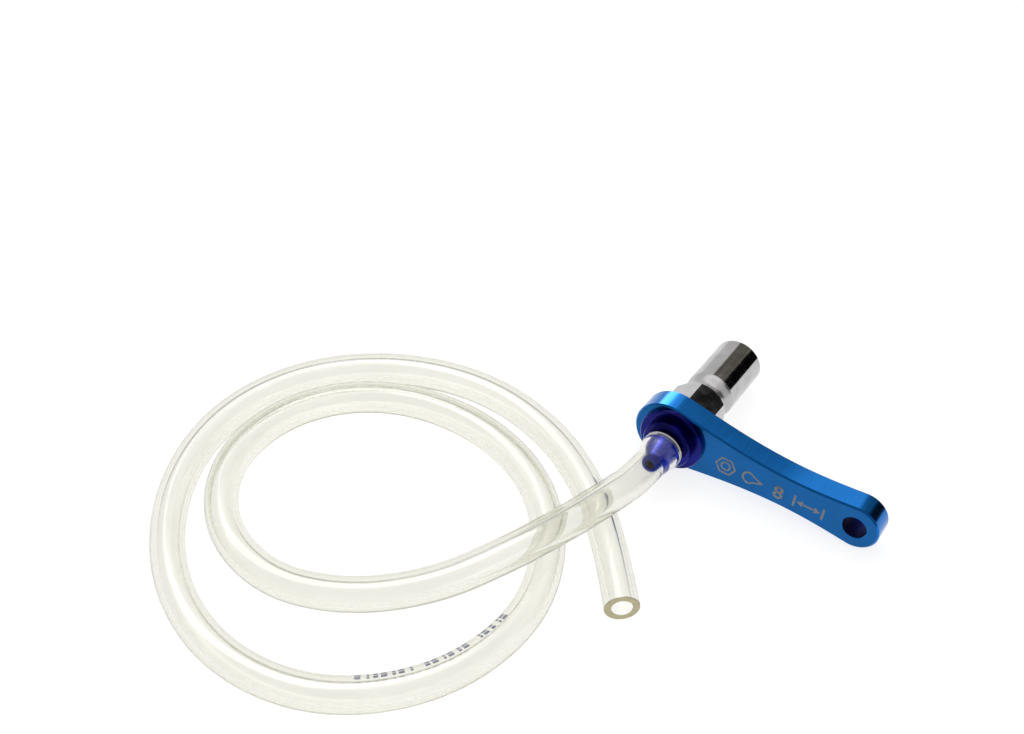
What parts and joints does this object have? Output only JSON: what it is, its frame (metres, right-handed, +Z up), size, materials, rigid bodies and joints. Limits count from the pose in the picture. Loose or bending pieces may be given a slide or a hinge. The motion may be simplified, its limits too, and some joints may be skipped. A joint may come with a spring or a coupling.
{
  "type": "brake bleeder wrench with drain hose",
  "caption": "Small flat wrench with a hexagon bleed nipple socket, a spring check valve inside and a clear drain hose pushed on its barb.",
  "frame": {"origin": "under the middle of the rigid tool's box (hose left out), on the bench the tool lies on", "axes": "+X in plan along the handle from its boss to its tip, +Y in plan along the socket towards its open end, +Z up"},
  "size_m": [0.1547, 0.1443, 0.0176],
  "materials": {
    "blue_anodised_aluminium": "bright anodised",
    "chrome_plated_steel": "polished plate",
    "navy_anodised_aluminium": "gloss anodised",
    "clear_vinyl": "translucent, slightly milky",
    "black_rubber": "matt",
    "brass": "turned",
    "bright_steel": "ground"
  },
  "bodies": {
    "wrench": {"handle": "blue_anodised_aluminium", "socket": "chrome_plated_steel", "barb_fitting": "navy_anodised_aluminium", "hose": "clear_vinyl", "nipple_seal": "black_rubber", "body_o_ring": "black_rubber", "valve_seat": "brass", "seat_o_ring": "black_rubber", "check_spring": "bright_steel"},
    "ball": {"check_ball": "bright_steel"}
  },
  "joints": [
    {"name": "ball_lift", "type": "slide", "parent": "wrench", "child": "ball", "axis": [0, -0.9971, 0.0763], "range_m": [0, 0.0014], "stiffness_N_per_m": 60, "springref_m": -0.0012, "deforming": ["check_spring"]}
  ]
}
